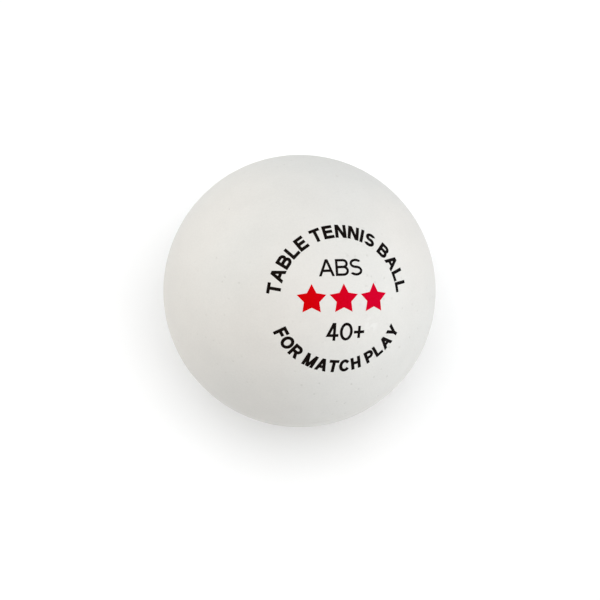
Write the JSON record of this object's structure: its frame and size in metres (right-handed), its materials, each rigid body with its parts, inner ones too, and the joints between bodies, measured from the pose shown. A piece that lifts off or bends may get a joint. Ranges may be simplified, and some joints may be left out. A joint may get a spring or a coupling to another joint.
{
  "type": "table tennis ball",
  "caption": "Hollow thin-walled plastic ball made of two cemented half shells, with a round grade and size print on one half.",
  "frame": {"origin": "centre of the ball", "axes": "+Z through both poles, towards the half shell that carries the print; the seam lies in the plane z = 0; +X and -Y point to the side on which the print leans down from the pole"},
  "size_m": [0.0402, 0.0402, 0.0402],
  "materials": {
    "shell": "matte moulded off-white, finely sanded",
    "cement": "dried solvent cement, dull",
    "ink_red": "pad-printed ink, slight sheen",
    "ink_black": "pad-printed ink, slight sheen"
  },
  "bodies": {
    "root": {"half_shell_upper": "shell", "half_shell_lower": "shell", "seam_cement": "cement", "star_left": "ink_red", "star_centre": "ink_red", "star_right": "ink_red", "material_mark": "ink_black", "size_mark": "ink_black", "legend_table": "ink_black", "legend_tennis": "ink_black", "legend_ball": "ink_black", "legend_for": "ink_black", "legend_match": "ink_black", "legend_play": "ink_black"}
  },
  "joints": []
}
